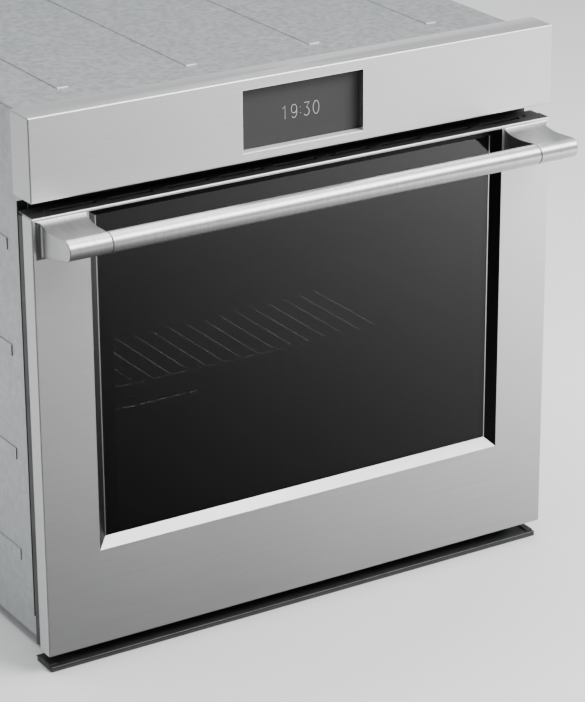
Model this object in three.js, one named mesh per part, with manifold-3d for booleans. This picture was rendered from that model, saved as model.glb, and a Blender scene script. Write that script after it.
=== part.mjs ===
// A 30 inch built-in wall oven with a drop-down door, modelled as the assembly it is on a service
// bench: sheet-metal chassis, enamelled cavity, racks on telescopic slides, heating elements and fans,
// control panel with a recessed touch display, and a triple-glazed door with handle, hinges and latch.
//
// Millimetres, +Z up, +X to the right as one faces the oven, +Y to the back. While it is being modelled
// the front face of the door is the plane Y = 0 and the cabinet floor is Z = 0. The whole group is then
// moved so that the origin is the bottom centre of its bounding box.

import * as THREE from "three";
import { mergeVertices } from "three/addons/utils/BufferGeometryUtils.js";
import Module from "manifold-3d";

const wasm = await Module();
wasm.setup();

// ---------------------------------------------------------------- driving dimensions

const GAP = 0.3; // left between pieces that touch
const HALF_WIDTH = 378; // of the front: 756 across
const HEIGHT = 728;
const DEPTH = 598; // front face to the back of the rear cover

const door = { bottom: 24, top: 604, thickness: 40, sheet: 2 };
const panel = { bottom: 622.5, top: HEIGHT, depth: 45.7, sheet: 2 };
const pivot = { y: 22, z: 34, x: 340 }; // of the door hinges, at plus and minus x

// The window in the door skin, at the front face, and the bevel that leads back to the glass.
const opening = { halfX: 301.5, bottom: 153.5, top: 600.5 };
const bevel = { side: 13, top: 10, depth: 10 };

const display = { halfX: 88, bottom: 633.5, top: 715, recess: 13 };
const bar = { radius: 13, y: -63, z: 582, halfLength: 310, end: 367 };

const frontFrame = { y: 46, sheet: 2.5 };
const chassis = { halfX: 358, bottom: 16, top: 718, back: 590, sheet: 2 };
const cavity = { halfX: 305, bottom: 92, top: 497, back: 538, sheet: 2 };
const chassisFront = frontFrame.y + frontFrame.sheet + GAP;

// ---------------------------------------------------------------- materials

const metal = (color, roughness) => new THREE.MeshStandardMaterial({ color, roughness, metalness: 1 });
const matter = (color, roughness) => new THREE.MeshStandardMaterial({ color, roughness, metalness: 0 });
const finish = {
  brushedSteel: metal(0xbdbdbd, 0.34),
  satinSteel: metal(0xc9c9c9, 0.25),
  zincSteel: metal(0xaeb3b5, 0.5),
  chrome: metal(0xd6d8da, 0.15),
  heaterSheath: metal(0x4a4644, 0.6),
  castAluminium: metal(0x9a9c9e, 0.45),
  darkEnamel: matter(0x1b1d22, 0.3),
  blackPaint: matter(0x111214, 0.5),
  blackPlastic: matter(0x1c1c1d, 0.6),
  darkGlass: matter(0x0b0c0d, 0.05),
  clearGlass: new THREE.MeshStandardMaterial({
    color: 0xdfe6e4,
    roughness: 0.03,
    metalness: 0,
    transparent: true,
    opacity: 0.3,
  }),
  glassFibre: matter(0xd8d2b8, 0.95),
  braidedSeal: matter(0x5b5852, 0.95),
  circuitBoard: matter(0x1f5a35, 0.6),
};

// ---------------------------------------------------------------- geometry helpers

const middle = ([low, high]) => (low + high) / 2;
const mirrored = ([low, high]) => [-high, -low];

// A box between two limits on each axis.
function block(x, y, z) {
  const size = [x, y, z].map(([low, high]) => high - low);
  return new THREE.BoxGeometry(...size).translate(middle(x), middle(y), middle(z));
}

// A cylinder along X, Y or Z about a centre, with flats at its sides.
function rod(axis, radius, length, centre, sides = 16) {
  const g = new THREE.CylinderGeometry(radius, radius, length, sides);
  if (axis === "x") g.rotateZ(Math.PI / 2);
  if (axis === "z") g.rotateX(Math.PI / 2);
  return g.translate(...centre);
}

// A four-sided funnel shape between a rectangle at depth y0 and another at depth y1.
// A rectangle is [low x, high x, low z, high z].
function taper(rect0, y0, rect1, y1) {
  const g = block([-1, 1], [-1, 1], [-1, 1]);
  const p = g.getAttribute("position");
  for (let i = 0; i < p.count; i++) {
    const [rect, y] = p.getY(i) < 0 ? [rect0, y0] : [rect1, y1];
    p.setXYZ(i, p.getX(i) < 0 ? rect[0] : rect[1], y, p.getZ(i) < 0 ? rect[2] : rect[3]);
  }
  return g;
}

// A path whose sections stand exactly at the points it is given, for a tube with few faces.
class SectionPath extends THREE.Curve {
  constructor(points) {
    super();
    this.points = points.map((p) => new THREE.Vector3(...p));
  }
  getPointAt(u, target = new THREE.Vector3()) {
    return target.copy(this.points[Math.round(u * (this.points.length - 1))]);
  }
  getTangentAt(u, target = new THREE.Vector3()) {
    const last = this.points.length - 1;
    const i = Math.round(u * last);
    const before = this.points[Math.max(0, i - 1)];
    const after = this.points[Math.min(last, i + 1)];
    return target.subVectors(after, before).normalize();
  }
}

// The points of a polyline whose inner corners are rounded to a radius.
function roundCorners(points, radius, steps = 3) {
  const v = points.map((p) => new THREE.Vector3(...p));
  const made = [v[0]];
  for (let i = 1; i < v.length - 1; i++) {
    const into = v[i].clone().add(v[i - 1].clone().sub(v[i]).setLength(radius));
    const out = v[i].clone().add(v[i + 1].clone().sub(v[i]).setLength(radius));
    made.push(...new THREE.QuadraticBezierCurve3(into, v[i], out).getPoints(steps));
  }
  made.push(v[v.length - 1]);
  return made.map((p) => p.toArray());
}

// A solid round tube through a list of points.
function sheathed(points, radius, sides = 6) {
  const section = new THREE.Shape();
  for (let i = 0; i < sides; i++) {
    const a = (2 * Math.PI * (i + 0.5)) / sides;
    const at = [radius * Math.cos(a), radius * Math.sin(a)];
    i ? section.lineTo(...at) : section.moveTo(...at);
  }
  return new THREE.ExtrudeGeometry(section, {
    steps: points.length - 1,
    extrudePath: new SectionPath(points),
  });
}

function toSolid(geometry) {
  const bare = geometry.clone();
  bare.deleteAttribute("normal");
  bare.deleteAttribute("uv");
  const merged = mergeVertices(bare, 1e-4);
  const vertProperties = merged.getAttribute("position").array;
  const triVerts = new Uint32Array(merged.index.array);
  return new wasm.Manifold(new wasm.Mesh({ numProp: 3, vertProperties, triVerts }));
}

function toGeometry(solid) {
  const mesh = solid.getMesh();
  const g = new THREE.BufferGeometry();
  g.setAttribute("position", new THREE.BufferAttribute(new Float32Array(mesh.vertProperties), 3));
  g.setIndex(new THREE.BufferAttribute(new Uint32Array(mesh.triVerts), 1));
  g.computeVertexNormals();
  return g;
}

const join = (...parts) => toGeometry(parts.map(toSolid).reduce((a, b) => a.add(b)));
const cut = (body, ...tools) =>
  toGeometry(tools.map(toSolid).reduce((a, b) => a.subtract(b), toSolid(body)));

function piece(name, material, geometry, position = [0, 0, 0]) {
  const mesh = new THREE.Mesh(geometry, material);
  mesh.name = name;
  mesh.position.set(...position);
  return mesh;
}

const gather = (...children) => new THREE.Group().add(...children);

// The same piece at the left (minus X) and the right: make(side, sign) returns one mesh.
const bothSides = (make) => [make("left", -1), make("right", 1)];

// Limits on X for the left or the right, from those for the right.
const onSide = (sign, limits) => (sign > 0 ? limits : mirrored(limits));

// Limits that lie the same way to both sides of a middle.
const around = (centre, half) => [centre - half, centre + half];

// A range with a margin cut away or, when it is negative, added at both ends.
const within = ([low, high], margin) => [low + margin, high - margin];

// Whole numbers counted from -half to half.
const spread = (half) => Array.from({ length: 2 * half + 1 }, (_, i) => i - half);

// A turn of a shape about the vertical axis through the racks' middle, for what is made at the right.
function onLeft(geometry, [front, back]) {
  return geometry.rotateZ(Math.PI).translate(0, front + back, 0);
}

// ---------------------------------------------------------------- chassis

const foot = { inner: 290, outer: 330, y: [60, 580] };
const hingeSlot = { halfWidth: 5, z: [24, 48] };
const latch = { z: 585, y: 66, reach: 34, width: 8 };
const doorSwitch = { x: 200, z: 560, radius: 4 };
const gland = { x: -250, z: 640, bore: 8, thread: 10.6, flange: 17 };
const motorOpening = { halfX: 130, z: [210, 400] };
const rearCover = { halfX: 160, z: [180, 430] };
const louvre = { x: 75, halfX: 55, height: 8, z: 210, pitch: 55, rows: 4 };
const flange = { outer: 372, thickness: 2, z: [60, 612], holeX: 366, holeRadius: 2.5 };
const flangeHoles = [110, 270, 430, 590];
const framePlate = { halfX: 358, z: [20, 716] };
const outlet = { pitch: 84, halfWidth: 34, z: [607, 614] };
const lowerTrim = { halfX: 374, uprightHalfX: 356, y: [4, 45.7], sheet: 2, ledgeTop: 7, uprightTop: 19 };

function chassisShell() {
  const { halfX, bottom, top, back, sheet } = chassis;
  const inner = halfX - sheet - GAP;
  const y = [chassisFront, back - sheet - GAP];
  const sides = bothSides((side, sign) => {
    const x = onSide(sign, [halfX - sheet, halfX]);
    const panelSheet = block(x, y, [bottom + GAP, top - sheet - GAP]);
    return piece(`side_panel_${side}`, finish.zincSteel, panelSheet);
  });
  const feet = [-1, 1].map((s) =>
    block(onSide(s, [foot.inner, foot.outer]), foot.y, [0, bottom + sheet]),
  );
  const basePan = join(block([-inner, inner], y, [bottom + GAP, bottom + GAP + sheet]), ...feet);
  const topCover = block([-halfX, halfX], [chassisFront, back], [top - sheet, top]);
  const backPanel = cut(
    block([-inner, inner], [back - sheet, back], [bottom + 2 * GAP + sheet, top - sheet - GAP]),
    block(around(0, motorOpening.halfX), [back - 9, back + 9], motorOpening.z),
    rod("y", gland.thread + 0.4, 30, [gland.x, back, gland.z]),
  );
  const louvres = [-1, 1].flatMap((s) =>
    Array.from({ length: louvre.rows }, (_, i) => {
      const low = louvre.z + louvre.pitch * i;
      return block(around(s * louvre.x, louvre.halfX), [back, DEPTH + 1], [low, low + louvre.height]);
    }),
  );
  const cover = cut(
    block(around(0, rearCover.halfX), [back + GAP, DEPTH], rearCover.z),
    block(around(0, rearCover.halfX - sheet), [back - 1, DEPTH - sheet], within(rearCover.z, sheet)),
    ...louvres,
  );
  return gather(
    ...sides,
    piece("base_pan", finish.zincSteel, basePan),
    piece("top_cover", finish.zincSteel, topCover),
    piece("back_panel", finish.zincSteel, backPanel),
    piece("rear_cover", finish.zincSteel, cover),
  );
}

// The strips that the fitter screws to the cabinet's sides, from behind the door.
function mountingFlanges() {
  const y = [chassisFront, chassisFront + flange.thickness];
  return bothSides((side, sign) => {
    const strip = block(onSide(sign, [chassis.halfX + GAP, flange.outer]), y, flange.z);
    const drills = flangeHoles.map((z) =>
      rod("y", flange.holeRadius, 20, [sign * flange.holeX, y[0], z], 8),
    );
    return piece(`mounting_flange_${side}`, finish.blackPaint, cut(strip, ...drills));
  });
}

// The black plate behind the door: cavity mouth, hinge slots, latch slot, switch hole and air outlets.
function frontFramePlate() {
  const { y, sheet } = frontFrame;
  const through = [y - 1, y + sheet + 1];
  const outlets = spread(3).map((i) =>
    block(around(outlet.pitch * i, outlet.halfWidth), through, outlet.z),
  );
  const hinges = [-1, 1].map((s) =>
    block(around(s * pivot.x, hingeSlot.halfWidth), through, hingeSlot.z),
  );
  const plate = cut(
    block(around(0, framePlate.halfX), [y, y + sheet], framePlate.z),
    block(around(0, cavity.halfX), through, [cavity.bottom, cavity.top]),
    block([-latch.width, latch.reach + 4], through, [latch.z - 4, latch.z + 4]),
    rod("y", doorSwitch.radius + 0.6, 10, [doorSwitch.x, y, doorSwitch.z], 8),
    ...outlets,
    ...hinges,
  );
  return piece("front_frame", finish.blackPaint, plate);
}

function lowerVentTrim() {
  const { sheet, ledgeTop, y } = lowerTrim;
  const x = around(0, lowerTrim.halfX);
  const shape = join(
    block(x, [y[0], y[0] + sheet], [0, ledgeTop]),
    block(x, y, [ledgeTop - sheet, ledgeTop]),
    block(
      around(0, lowerTrim.uprightHalfX),
      [y[1] - sheet, y[1]],
      [ledgeTop - sheet, lowerTrim.uprightTop],
    ),
  );
  return piece("lower_vent_trim", finish.blackPaint, shape);
}

// ---------------------------------------------------------------- cavity

const MOUTH = chassisFront; // where the liner meets the front frame
const fan = { z: 300, radius: 85, shaft: 4, blades: 10, coverDepth: 40, ringRadius: 112, ringSteps: 18 };
const fanCover = { halfX: 190, halfZ: 140, sheet: 1.5, slots: 16 };
const lamp = { y: 430, z: 440, radius: 28 };
const sensor = { x: -230, z: 455 };
const elementRadius = 4;
const elementBend = 36;

function cavityLiner() {
  const { halfX, bottom, top, back, sheet } = cavity;
  const shell = cut(
    block([-halfX - sheet, halfX + sheet], [MOUTH, back + sheet], [bottom - sheet, top + sheet]),
    block([-halfX, halfX], [MOUTH - 1, back], [bottom, top]),
    rod("y", 8, 20, [0, back, fan.z]),
    ...[-1, 1].map((s) => rod("x", lamp.radius + 0.6, 20, [s * halfX, lamp.y, lamp.z], 20)),
    rod("y", 4, 20, [sensor.x, back, sensor.z], 8),
  );
  return piece("cavity_liner", finish.darkEnamel, shell);
}

function convectionSystem() {
  const coverY = cavity.back - fan.coverDepth;
  const slots = Array.from({ length: fanCover.slots }, (_, i) => {
    const a = (2 * Math.PI * i) / fanCover.slots;
    return block([28, 68], [-9, 9], [-3.5, 3.5])
      .rotateY(-a)
      .translate(0, coverY, fan.z);
  });
  const cover = cut(
    block(around(0, fanCover.halfX), [coverY, cavity.back - GAP], around(fan.z, fanCover.halfZ)),
    block(
      around(0, fanCover.halfX - fanCover.sheet),
      [coverY + fanCover.sheet, cavity.back + 1],
      around(fan.z, fanCover.halfZ - fanCover.sheet),
    ),
    ...slots,
  );
  const blades = Array.from({ length: fan.blades }, (_, i) =>
    block([22, fan.radius], [-11, 9], [-1, 1])
      .rotateY((2 * Math.PI * i) / fan.blades + 0.3)
      .translate(0, coverY + 22, fan.z),
  );
  const wheel = join(
    rod("y", fan.radius, 2, [0, coverY + 31, fan.z], 24),
    rod("y", 14, 24, [0, coverY + 20, fan.z], 12),
    rod("y", fan.shaft, 60, [0, coverY + 50, fan.z], 12),
    ...blades,
  );
  const wallBack = cavity.back + cavity.sheet;
  const motorY = wallBack + 10;
  const bracketZ = around(fan.z, 12);
  const motor = cut(
    join(
      rod("y", 32, 30, [0, motorY + 17, fan.z], 20),
      block([-60, 60], [motorY, motorY + 2], bracketZ),
      ...[-56, 56].map((x) => block(around(x, 4), [wallBack + GAP, motorY + 1], bracketZ)),
    ),
    rod("y", fan.shaft + 0.5, 60, [0, motorY + 1, fan.z], 12),
  );
  const opened = 0.12; // half the angle that the ring leaves open at its foot
  const ring = Array.from({ length: fan.ringSteps + 1 }, (_, i) => {
    const a = -Math.PI / 2 + opened + (2 * (Math.PI - opened) * i) / fan.ringSteps;
    return [fan.ringRadius * Math.cos(a), coverY + 22, fan.z + fan.ringRadius * Math.sin(a)];
  });
  const leg = (p) => [p[0], cavity.back - GAP, p[2]];
  const element = sheathed([leg(ring[0]), ...ring, leg(ring[fan.ringSteps])], elementRadius);
  return {
    fixed: gather(
      piece("fan_cover", finish.darkEnamel, cover),
      piece("convection_motor", finish.zincSteel, motor),
      piece("convection_element", finish.heaterSheath, element),
    ),
    wheel: piece("convection_fan", finish.castAluminium, wheel),
  };
}

function heatingElements() {
  const z = cavity.top - 22;
  const rows = [-220, -140, -60, 60, 140, 220];
  const near = 110;
  const far = 470;
  const loops = rows.flatMap((x, i) => {
    const ends = i % 2 ? [near, far] : [far, near];
    return ends.map((y) => [x, y, z]);
  });
  loops[0][1] = cavity.back - GAP;
  loops[loops.length - 1][1] = cavity.back - GAP;
  const broil = sheathed(roundCorners(loops, elementBend), elementRadius);
  const under = cavity.bottom - cavity.sheet - GAP - elementRadius;
  const bakeRoute = [[-30, 560, under], [-30, 470, under], [-230, 470, under], [-230, 130, under]];
  const otherHalf = bakeRoute.map(([x, y]) => [-x, y, under]).reverse();
  const bake = sheathed(roundCorners([...bakeRoute, ...otherHalf], elementBend), elementRadius);
  return gather(
    piece("broil_element", finish.heaterSheath, broil),
    piece("bake_element", finish.heaterSheath, bake),
  );
}

function lampsAndSensor() {
  const lamps = bothSides((side, sign) => {
    const lens = join(
      rod("x", lamp.radius + 5, 3, [sign * (cavity.halfX - 1.5 - GAP), lamp.y, lamp.z], 20),
      rod("x", lamp.radius, 24, [sign * (cavity.halfX + 9), lamp.y, lamp.z], 20),
    );
    return piece(`oven_lamp_${side}`, finish.clearGlass, lens);
  });
  const probe = join(
    rod("y", 3, 110, [sensor.x, cavity.back - 45, sensor.z], 8),
    rod("y", 9, 2, [sensor.x, cavity.back - 1 - GAP, sensor.z], 8),
  );
  return gather(...lamps, piece("temperature_sensor", finish.chrome, probe));
}

// Glass-fibre quilt round the liner's roof, floor and sides.
function insulation() {
  const { halfX, bottom, top, back, sheet } = cavity;
  const outX = 338;
  const near = sheet + 0.5;
  const quilt = cut(
    block([-outX, outX], [MOUTH + 2, back], [58, 527]),
    block([-halfX - near, halfX + near], [MOUTH, back + 1], [bottom - near, top + near]),
    block([-250, 250], [100, back + 1], [bottom - 20, bottom]),
    ...[-1, 1].map((s) => rod("x", lamp.radius + 2, 80, [s * (halfX + 20), lamp.y, lamp.z])),
  );
  return piece("insulation_blanket", finish.glassFibre, quilt);
}

// ---------------------------------------------------------------- racks

const rack = { halfX: 273.2, front: 72, back: 470, z: 330, wire: 5, pitch: 33 };
const lowerRack = { halfX: 293, front: 76, back: 480, z: 164.8, wire: 5, pitch: 33 };
const SIDE_WIRE = cavity.halfX - 5;
const RUNG_LENGTH = [84, 460];

function wireRack(r) {
  const half = r.wire / 2;
  const z = [r.z - half, r.z + half];
  const bars = [];
  const count = Math.floor((r.halfX - 12) / r.pitch);
  for (let i = -count; i <= count; i++) {
    bars.push(block(around(i * r.pitch, 1.5), [r.front + 2, r.back - 2], [r.z - 1, r.z + 2]));
  }
  return join(
    block([-r.halfX, r.halfX], [r.front, r.front + r.wire], z),
    block([-r.halfX, r.halfX], [r.back - r.wire, r.back], z),
    block([-r.halfX, -r.halfX + r.wire], [r.front, r.back], z),
    block([r.halfX - r.wire, r.halfX], [r.front, r.back], z),
    ...bars,
  );
}

// Wire ladder on each cavity wall. Pairs of rungs make the shelf positions.
function rackLadders() {
  const levels = [112, 160, 208, 256, 322, 372];
  return bothSides((side, sign) => {
    const x = [SIDE_WIRE - 4, cavity.halfX - GAP];
    const wires = [
      ...[90, 330, 400].map((y) => block(x, [y - 2, y + 2], [104, 400])),
      ...levels.map((z) => block([SIDE_WIRE - 12, SIDE_WIRE - 2], RUNG_LENGTH, [z - 2, z + 2])),
    ];
    const ladder = join(...wires);
    if (sign < 0) onLeft(ladder, RUNG_LENGTH);
    return piece(`rack_ladder_${side}`, finish.chrome, ladder);
  });
}

// Telescopic slide under the upper rack: a fixed channel on the ladder and a runner in it.
const slide = { z: [324, 337], y: [88, 456], fixedX: [279, 287.5], runnerX: [273.5, 278.5] };

function fixedSlides() {
  return bothSides((side, sign) => {
    const [low, high] = slide.fixedX;
    const channel = cut(
      block([low, high], slide.y, [slide.z[0] + GAP, slide.z[1]]),
      block([low - 1, high - 2], within(slide.y, -1), [slide.z[0] + 2.5, slide.z[1] - 2]),
    );
    if (sign < 0) onLeft(channel, slide.y);
    return piece(`slide_rail_${side}`, finish.zincSteel, channel);
  });
}

function slideRunners() {
  return bothSides((side, sign) => {
    const [low, high] = slide.runnerX;
    const strip = join(
      block([low, high], [86, 452], [slide.z[0] + 2, slide.z[1] - 1]),
      block([low, high + 5], [120, 440], [slide.z[0] + 4.5, slide.z[1] - 3]),
    );
    if (sign < 0) strip.scale(-1, 1, 1);
    return piece(`slide_runner_${side}`, finish.zincSteel, sign < 0 ? turned(strip) : strip);
  });
}

// A mirrored geometry has its faces inside out. This turns them back.
function turned(geometry) {
  const index = geometry.index.array;
  for (let i = 0; i < index.length; i += 3) [index[i + 1], index[i + 2]] = [index[i + 2], index[i + 1]];
  geometry.computeVertexNormals();
  return geometry;
}

// ---------------------------------------------------------------- seal, hinges, latch, switch

function doorGasket() {
  const y = [door.thickness + 0.5, frontFrame.y - GAP];
  const width = 10;
  const outer = { halfX: 322, z: [75, 514] };
  const ring = cut(
    block(around(0, outer.halfX), y, outer.z),
    block(around(0, outer.halfX - width), within(y, -1), within(outer.z, width)),
  );
  return piece("door_gasket", finish.braidedSeal, ring);
}

function hingeAnchors() {
  return bothSides((side, sign) => {
    const x = sign * pivot.x;
    const receiver = cut(
      block([x - 8, x + 8], [chassisFront, 104], [chassis.bottom + 2 * GAP + 2, 52]),
      block([x - 3, x + 3], [chassisFront - 1, 99], [24, 46]),
    );
    const claw = cut(
      join(
        rod("x", 8, 4, [x, pivot.y, pivot.z], 16),
        block([x - 2, x + 2], [pivot.y, 97], [pivot.z - 8, pivot.z + 8]),
      ),
      rod("x", 3.3, 10, [x, pivot.y, pivot.z], 12),
      block([x - 3, x + 3], [60, 68], [pivot.z + 3, pivot.z + 9]),
    );
    return gather(
      piece(`hinge_receiver_${side}`, finish.zincSteel, receiver),
      piece(`hinge_claw_${side}`, finish.zincSteel, claw),
    );
  });
}

function latchAssembly() {
  const plate = [latch.z - 1.5, latch.z + 1.5];
  const hook = join(
    rod("z", 7, 3, [0, latch.y, latch.z], 12),
    block([0, latch.reach], [latch.y - 4, latch.y + 4], plate),
    block([latch.reach - 7, latch.reach], [latch.y - 12, latch.y + 4], plate),
  );
  const motor = join(
    block([-20, 20], [latch.y - 14, latch.y + 30], [latch.z - 14, latch.z - 1.5 - GAP]),
    rod("z", 17, 22, [0, latch.y + 12, latch.z - 25], 16),
  );
  return {
    motor: piece("latch_motor", finish.blackPlastic, motor),
    hook: piece("latch_hook", finish.zincSteel, hook),
  };
}

function switchPlunger() {
  const tip = door.thickness + 0.5;
  const stem = join(
    rod("y", doorSwitch.radius, 24, [doorSwitch.x, tip + 12, doorSwitch.z], 12),
    rod("y", 7, 3, [doorSwitch.x, tip + 22, doorSwitch.z], 12),
  );
  return piece("door_switch_plunger", finish.blackPlastic, stem);
}

// ---------------------------------------------------------------- cooling air

const blower = { y: 430, z: [606, 652], radius: 92 };

function coolingSystem() {
  const [low, high] = blower.z;
  const height = high - low;
  const mid = (low + high) / 2;
  const mouthX = [-60, 60];
  const housing = cut(
    rod("z", blower.radius, height, [0, blower.y, mid], 28),
    rod("z", blower.radius - 2, height, [0, blower.y, mid - 2], 28),
    block(mouthX, [blower.y - 110, blower.y - 60], [low - 1, high - 4]),
    rod("z", 8, 20, [0, blower.y, high], 12),
  );
  const vanes = Array.from({ length: 12 }, (_, i) =>
    block([48, 80], [-0.8, 0.8], [-15, 15])
      .rotateZ((2 * Math.PI * i) / 12)
      .translate(0, blower.y, mid - 2),
  );
  const wheel = join(
    rod("z", 80, 1.6, [0, blower.y, mid + 13], 24),
    rod("z", 4, 40, [0, blower.y, mid + 20], 12),
    ...vanes,
  );
  const motor = cut(
    join(
      rod("z", 34, 34, [0, blower.y, high + 20], 20),
      block([-50, 50], [blower.y - 10, blower.y + 10], [high + GAP, high + 3]),
    ),
    rod("z", 4.6, 44, [0, blower.y, high], 12),
  );
  const duct = cut(
    block([-300, 300], [chassisFront, blower.y - 95], [604, 640]),
    block([-298.5, 298.5], [chassisFront - 1, blower.y - 96.5], [603, 638.5]),
    block(mouthX, [blower.y - 110, blower.y - 90], [603, 636]),
  );
  return {
    fixed: gather(
      piece("blower_housing", finish.zincSteel, housing),
      piece("blower_motor", finish.blackPaint, motor),
      piece("air_duct", finish.zincSteel, duct),
    ),
    wheel: piece("blower_wheel", finish.castAluminium, wheel),
  };
}

// ---------------------------------------------------------------- electrics

function electrics() {
  const boardY = [24, 26];
  const posts = [112, 276].flatMap((x) =>
    [642, 706].map((z) => block(around(x, 3), [panel.sheet + GAP, boardY[0] + 1], around(z, 3))),
  );
  const relays = [130, 165, 200, 235].map((x) => block(around(x, 11), [boardY[1], 40], [660, 686]));
  const board = join(block([104, 284], boardY, [634, 714]), ...relays, ...posts);
  const terminals = join(
    block([-310, -230], [548, 587.7], [586, 594]),
    ...[0, 1, 2, 3].map((i) => block([-306 + 20 * i, -292 + 20 * i], [553, 578], [594, 612])),
  );
  const entry = cut(
    join(
      rod("y", gland.flange, 7.5, [gland.x, chassis.back + 4.1, gland.z], 16),
      rod("y", gland.thread, 16, [gland.x, chassis.back - 3.9, gland.z], 16),
    ),
    rod("y", gland.bore, 40, [gland.x, chassis.back, gland.z], 16),
  );
  return gather(
    piece("control_board", finish.circuitBoard, board),
    piece("terminal_block", finish.blackPlastic, terminals),
    piece("conduit_gland", finish.castAluminium, entry),
  );
}

// ---------------------------------------------------------------- control panel

function controlPanel() {
  const { bottom, top, depth, sheet } = panel;
  const { halfX, recess } = display;
  const hole = block([-halfX, halfX], [-1, recess + 1], [display.bottom, display.top]);
  const collar = block(
    [-halfX - sheet, halfX + sheet],
    [1, recess],
    [display.bottom - sheet, display.top + sheet],
  );
  const tray = cut(
    block([-HALF_WIDTH, HALF_WIDTH], [0, depth], [bottom, top]),
    block([sheet - HALF_WIDTH, HALF_WIDTH - sheet], [sheet, depth + 1], [bottom + sheet, top - sheet]),
  );
  const glass = block(
    [-halfX - 5, halfX + 5],
    [recess + GAP, recess + 3],
    [display.bottom - 5, display.top + 5],
  );
  const module = join(
    block([-halfX, halfX], [recess + 3 + GAP, 30], [display.bottom, display.top]),
    block([-50, 50], [30, 40], [650, 700]),
  );
  return gather(
    piece("control_panel", finish.brushedSteel, cut(join(tray, collar), hole)),
    piece("display_glass", finish.darkGlass, glass),
    piece("display_module", finish.blackPlastic, module),
  );
}

// ---------------------------------------------------------------- door

// Room for the fixed hinge claws as the door turns round them.
const clawRoom = [-1, 1].map((s) => block(around(s * pivot.x, 5), [12, 41], [21, 45]));

const skinDepth = 24;
const glazing = {
  outer: { halfX: 325, y: [bevel.depth + GAP, 14.3], z: [112, 598] },
  middle: { halfX: 285, y: [22, 25], z: [120, 500] },
  inner: { halfX: 275, y: [33.7, 37.7], z: [125, 475] },
};
const liner = { front: 16, top: 600, glassStopX: 288, window: { halfX: 255, z: [140, 460] } };
const topCap = { halfX: 375, y: [2.4, 39.6], z: [601, 603.6] };
const capSlot = { pitch: 78, halfWidth: 30, y: [16, 24] };

function doorSkin() {
  const { sheet } = door;
  const outer = [-opening.halfX, opening.halfX, opening.bottom, opening.top];
  const inner = [
    bevel.side - opening.halfX,
    opening.halfX - bevel.side,
    opening.bottom + bevel.side,
    opening.top - bevel.top,
  ];
  const grown = (rect, by) => [rect[0] - by, rect[1] + by, rect[2] - by, rect[3] + by];
  const through = (rect, other, share) => rect.map((v, i) => v + (other[i] - v) * share);
  const tray = cut(
    block(around(0, HALF_WIDTH), [0, skinDepth], [door.bottom, door.top]),
    block(around(0, HALF_WIDTH - sheet), [sheet, skinDepth + 1], [door.bottom + sheet, door.top + 1]),
  );
  const wall = 1.6;
  const funnel = taper(grown(outer, wall), 0.5, grown(inner, wall), bevel.depth);
  const beyond = 0.2; // how far the cutter runs past each end, as a share of the bevel
  const hole = taper(
    through(outer, inner, -beyond),
    -beyond * bevel.depth,
    through(outer, inner, 1 + beyond),
    (1 + beyond) * bevel.depth,
  );
  return piece("door_skin", finish.brushedSteel, cut(join(tray, funnel), hole, ...clawRoom));
}

function doorGlazing() {
  return Object.entries(glazing).map(([name, { halfX, y, z }]) => {
    const material = name === "outer" ? finish.darkGlass : finish.clearGlass;
    return piece(`${name}_glass`, material, block(around(0, halfX), y, z));
  });
}

function doorLiner() {
  const back = door.thickness;
  const { sheet } = door;
  const { front, top, window } = liner;
  const linerX = HALF_WIDTH - sheet - GAP;
  const bottom = door.bottom + sheet + GAP;
  const shell = cut(
    block(around(0, linerX), [front, back], [bottom, top]),
    block(around(0, linerX - sheet), [front - 1, back - sheet], [bottom + sheet, top - sheet]),
  );
  const glassStops = [-1, 1].map((s) =>
    block(around(s * liner.glassStopX, 2.5), [20, back - 1], glazing.middle.z),
  );
  const throughBack = [back - 3, back + 1];
  const pan = cut(
    join(shell, ...glassStops),
    block(around(0, window.halfX), throughBack, window.z),
    block([-4, 28], throughBack, around(latch.z, 5)),
    ...clawRoom,
  );
  const slots = spread(4).map((i) =>
    block(around(capSlot.pitch * i, capSlot.halfWidth), capSlot.y, [liner.top - 1, door.top + 1]),
  );
  const cap = cut(block(around(0, topCap.halfX), topCap.y, topCap.z), ...slots);
  return [
    piece("door_liner", finish.blackPaint, pan),
    piece("door_top_cap", finish.blackPlastic, cap),
  ];
}

function doorHinges() {
  return bothSides((side, sign) => {
    const x = sign * pivot.x;
    const channel = cut(
      block([x - 6.5, x + 6.5], [5, 36], [29, 420]),
      block([x - 4, x + 4], [7, 37], [26, 421]),
    );
    const pin = rod("x", 3, 9, [x, pivot.y, pivot.z], 12);
    const spring = rod("z", 3.4, 240, [x, 20, 250], 10);
    return gather(
      piece(`hinge_channel_${side}`, finish.zincSteel, join(channel, pin)),
      piece(`hinge_spring_${side}`, finish.chrome, spring),
    );
  });
}

// The bracket's outline in the Y-Z plane: a foot on the door skin, a hollow top, a nose round the bar.
function bracketOutline() {
  const { y, z, radius } = bar;
  const s = new THREE.Shape();
  s.moveTo(-GAP, 600.7);
  s.bezierCurveTo(-GAP, 594, -12, 593.5, -28, 593.2);
  s.absarc(y, z, radius, Math.PI * 0.42, Math.PI * 1.46, false);
  s.lineTo(-10, 557);
  s.quadraticCurveTo(-3, 555.5, -GAP, 552);
  return s;
}

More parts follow.
